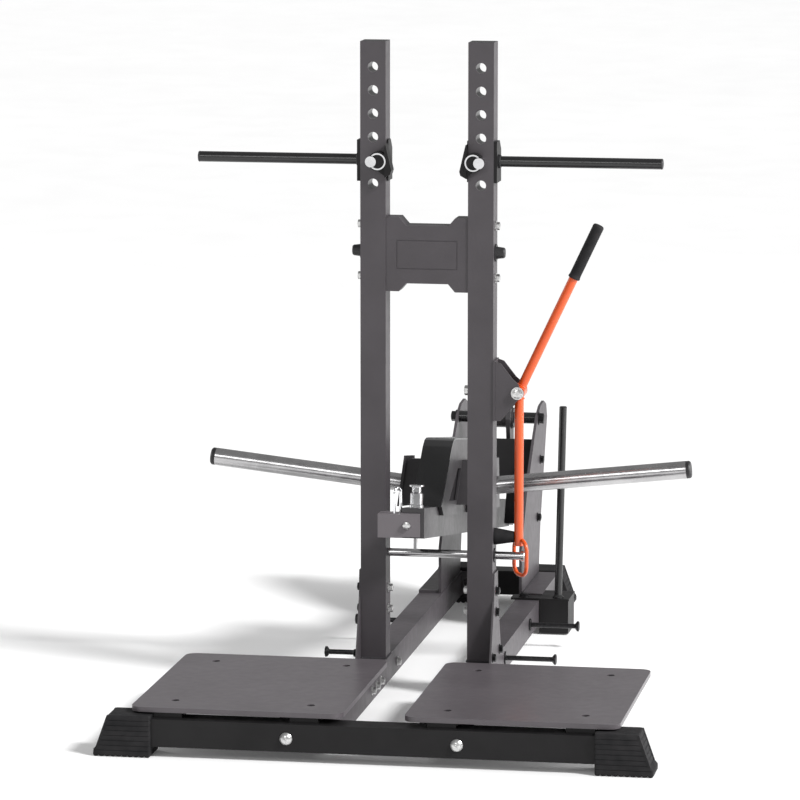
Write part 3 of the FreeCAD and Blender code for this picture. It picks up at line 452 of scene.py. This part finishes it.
# ---------------------------------------------------------------- fasteners and grips
def plate_screws():
    """Countersunk screws with a hexagon socket, set just below the plates' faces."""
    half_across, half_away, sunk = 180 * MM, 252 * MM, 2 * MM
    parts = []
    for side, _ in SIDES:
        low, high = (Vector(corner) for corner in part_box(f"{side}_foot_plate"))
        middle = (low + high) / 2
        for across in (-half_across, half_across):
            for away in (-half_away, half_away):
                parts.append(socket_screw((middle.x + across, middle.y + away, high.z - sunk)))
    points, faces = joined(parts)
    screws = piece("plate_socket_screws", points, faces, BLACK_STEEL, "frame")
    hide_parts("plate_screws")


def socket_screw(at):
    """Head disc with a rounded rim and a hexagonal recess."""
    sides = 48
    head, socket, depth = 10.8 * MM, 4.6 * MM, 4.5 * MM
    levels = [("round", head - 0.4 * MM, -9 * MM), ("round", head, -1.2 * MM),
              ("round", head - 0.8 * MM, 0), ("round", socket * 1.35, 0),
              ("hex", socket, -0.4 * MM), ("hex", socket, -depth)]
    rings = []
    for shape, radius, level in levels:
        ring = []
        for step in range(sides):
            angle = 2 * math.pi * step / sides
            reach = radius
            if shape == "hex":
                within = (angle % (math.pi / 3)) - math.pi / 6
                reach = radius / math.cos(within)
            ring.append(Vector((at[0] + reach * math.cos(angle), at[1] + reach * math.sin(angle),
                                at[2] + level)))
        rings.append(ring)
    return stacked_rings(rings)


def lever_line():
    """The lever's pivot, and the direction of its upper tube."""
    lean = math.radians(25.2)
    pivot = next(joint["pos_m"] for joint in frame["joints"] if joint["name"] == "lever_pivot")
    return Vector(pivot), Vector((math.sin(lean), 0, math.cos(lean)))


def lever_grip():
    """Soft moulded grip: flared mouth, shallow finger rings and a domed end."""
    pivot, axis = lever_line()
    reach, length, radius = 508 * MM, 161 * MM, 15.5 * MM
    start = pivot + axis * (reach - length)
    profile = [(12.6 * MM, 0), (radius + 0.6 * MM, 0.2 * MM), (radius + 1.2 * MM, 2 * MM),
               (radius + 1.2 * MM, 5 * MM), (radius, 7 * MM)]
    rings, pitch = 26, 5.2 * MM
    for ring in range(rings):
        base = 12 * MM + ring * pitch
        profile += [(radius, base), (radius - 0.45 * MM, base + 0.6 * MM),
                    (radius - 0.45 * MM, base + 1.2 * MM), (radius, base + 1.8 * MM)]
    dome = 9
    for step in range(dome + 1):
        angle = math.pi / 2 * step / dome
        profile.append((max(0.2 * MM, radius - 6 * MM + 6 * MM * math.cos(angle)),
                        length - 6 * MM + 6 * MM * math.sin(angle)))
    points, faces = turned(profile, placing(axis, start))
    grip = piece("lever_grip_moulded", points, faces, RUBBER, "lever")
    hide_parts("lever_grip")


def handle_ends():
    """Domed plugs in the handle bars' outer ends and a shoulder at their roots."""
    parts = []
    for side, sign in SIDES:
        low, high = (Vector(corner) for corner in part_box(f"{side}_handle_bar"))
        middle = (low + high) / 2
        radius = (high.z - low.z) / 2
        tip = high.x if sign > 0 else low.x
        root = low.x if sign > 0 else high.x
        plug = [(radius - 0.3 * MM, -2 * MM), (radius + 0.3 * MM, -0.5 * MM),
                (radius + 0.3 * MM, 1 * MM), (radius - 1.5 * MM, 3.2 * MM),
                (radius - 6 * MM, 4.2 * MM), (0.2 * MM, 4.4 * MM)]
        parts.append(turned(plug, placing((sign, 0, 0), (tip, middle.y, middle.z))))
        shoulder = [(radius + 0.2 * MM, 0), (radius + 4 * MM, 0), (radius + 4 * MM, 5 * MM),
                    (radius + 3 * MM, 6 * MM), (radius + 0.2 * MM, 6 * MM)]
        parts.append(turned(shoulder, placing((sign, 0, 0), (root, middle.y, middle.z))))
    points, faces = joined(parts)
    piece("handle_bar_plugs", points, faces, PLASTIC, "frame")


def height_sleeves():
    """Painted sleeves that line the free height holes from face to face."""
    outer, inner = 14.9 * MM, 14.1 * MM
    parts = []
    for mount in frame["record"]["mounts"]:
        if "_height_hole_" not in mount["name"]:
            continue
        low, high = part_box(mount["name"].split("_")[0] + "_upright")
        across, _, level = mount["pos_m"]
        parts.append(sleeve(outer, inner, high[1] - low[1] - MM,
                            placing((0, 1, 0), (across, low[1] + MM / 2, level))))
    points, faces = joined(parts)
    piece("height_hole_sleeves", points, faces, PLATE_COAT, "frame")


# ---------------------------------------------------------------- welds
def rectangle_route(node, level):
    """A route round a square tube, just outside its faces."""
    grow = 1.2 * MM
    low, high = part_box(node)
    return [(low[0] - grow, low[1] - grow, level), (high[0] + grow, low[1] - grow, level),
            (high[0] + grow, high[1] + grow, level), (low[0] - grow, high[1] + grow, level)]


def frame_welds():
    """Painted beads where the uprights and the towers meet the rails."""
    tower_wall, above_rail = 8 * MM, 8.5 * MM
    front_gap, rear_gap = 12 * MM, 180 * MM
    beads = []
    rail_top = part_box("left_rail")[1][2]
    for side, sign in SIDES:
        beads.append(bead(rectangle_route(f"{side}_upright", rail_top + MM)))
        low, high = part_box(f"{side}_tower")
        inner_edge = (high[0] if sign < 0 else low[0]) + sign * tower_wall
        beads.append(bead([(inner_edge + sign * MM, low[1] + front_gap, rail_top + above_rail),
                           (inner_edge + sign * MM, high[1] - rear_gap, rail_top + above_rail)],
                          closed=False))
    points, faces = joined(beads)
    piece("frame_welds", points, faces, WELD, "frame")


def arm_welds():
    """Painted beads round the horns' roots and the hub's ends."""
    rise = math.radians(6.3)
    root_across, root_up, past_root, horn_bead = 122 * MM, 28 * MM, 5.5 * MM, 28.6 * MM
    hub_inset, hub_bead = 8 * MM, 30.5 * MM
    beads = []
    for side, sign in SIDES:
        axis = Vector((sign * math.cos(rise), 0, math.sin(rise)))
        low, high = (Vector(corner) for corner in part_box(f"{side}_horn"))
        root = Vector((sign * root_across, (low.y + high.y) / 2, low.z + root_up)) + axis * past_root
        beads.append(bead(round_route(axis, root, horn_bead), radius=2.8 * MM))
    low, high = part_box("pivot_hub")
    for across in (low[0] + hub_inset, high[0] - hub_inset):
        centre = (across, (low[1] + high[1]) / 2, (low[2] + high[2]) / 2)
        beads.append(bead(round_route((1, 0, 0), centre, hub_bead)))
    points, faces = joined(beads)
    piece("arm_welds", points, faces, WELD, "arm")


def lever_welds():
    """Orange beads where the lever's two tubes meet its pivot bush."""
    from_pivot, tube_bead = 19 * MM, 12.8 * MM
    pivot, up = lever_line()
    beads = [bead(round_route((0, 0, 1), pivot - Vector((0, 0, from_pivot)), tube_bead), radius=2 * MM),
             bead(round_route(up, pivot + up * from_pivot, tube_bead), radius=2 * MM)]
    points, faces = joined(beads)
    piece("lever_welds", points, faces, ORANGE, "lever")


# ---------------------------------------------------------------- floor, light and camera
SKY = 0.33
FLOOR_GLOW = 0.07
SUN_STRENGTH, SUN_PLACE, SUN_SPREAD = 3.7, (4.2, -1.7, 3.8), math.radians(12)
# name, place, aim, (width, height), power
LIGHTS = (("front_box", (-1.5, -7.5, 4.2), (0, 0, 1.1), (3.0, 2.0), 80),
          ("right_box", (4.5, 0.2, 1.8), (0, 0, 0.8), (2.6, 2.6), 130),
          ("left_strip", (-4.0, 0.8, 2.0), (0, 0, 0.8), (0.8, 3.0), 40))
CAMERA_PLACE = (2.0656, -12.5321, 2.7093)
CAMERA_DOWN, CAMERA_TURN = math.radians(90 - 8.64), math.radians(9.92)
SENSOR_WIDTH, FOCAL_LENGTH = 36.0, 207.2


def stage():
    """A wide pale floor, an even sky, a soft sun and three soft boxes."""
    size = 90.0
    mesh = bpy.data.meshes.new("studio_floor")
    mesh.from_pydata([(-size, -size, 0), (size, -size, 0), (size, size, 0), (-size, size, 0)], [],
                     [(0, 1, 2, 3)])
    floor = added("studio_floor", mesh)
    pale = Shader("floor_pale", specular=0.2)
    pale.colour(pale.noise(0.4, 2.0), (0.90, 0.90, 0.90), (0.92, 0.92, 0.92))
    pale.roughness(pale.noise(3.0, 2.0), 0.55, 0.65)
    pale.surface.inputs["Emission Color"].default_value = (1, 1, 1, 1)
    pale.surface.inputs["Emission Strength"].default_value = FLOOR_GLOW
    mesh.materials.append(pale.material)

    sun = bpy.data.lights.new("sun", "SUN")
    sun.energy = SUN_STRENGTH
    sun.angle = SUN_SPREAD
    holder = added("sun", sun)
    holder.rotation_euler = (-Vector(SUN_PLACE)).to_track_quat("-Z", "Y").to_euler()

    bpy.context.scene.view_settings.view_transform = "Standard"
    world = bpy.data.worlds.new("studio_sky")
    bpy.context.scene.world = world
    world.use_nodes = True
    world.node_tree.nodes["Background"].inputs["Color"].default_value = (1, 1, 1, 1)
    world.node_tree.nodes["Background"].inputs["Strength"].default_value = SKY

    for name, place, aim, size, power in LIGHTS:
        lamp = bpy.data.lights.new(name, "AREA")
        lamp.shape = "RECTANGLE"
        lamp.size, lamp.size_y = size
        lamp.energy = power
        holder = added(name, lamp)
        holder.location = place
        holder.rotation_euler = (Vector(aim) - Vector(place)).to_track_quat("-Z", "Y").to_euler()


def camera():
    """The photograph's viewing angle: a long lens, a little from the right and above."""
    lens = bpy.data.cameras.new("camera")
    lens.sensor_width = SENSOR_WIDTH
    lens.lens = FOCAL_LENGTH
    lens.clip_end = 300.0
    holder = added("camera", lens)
    holder.location = CAMERA_PLACE
    holder.rotation_euler = (CAMERA_DOWN, 0, CAMERA_TURN)
    bpy.context.scene.camera = holder


dress_nodes()
for end in ("front", "rear"):
    for side, sign in SIDES:
        moulded_foot(f"{end}_{side}_foot", sign)
plate_screws()
lever_grip()
handle_ends()
height_sleeves()
frame_welds()
arm_welds()
lever_welds()
stage()
camera()
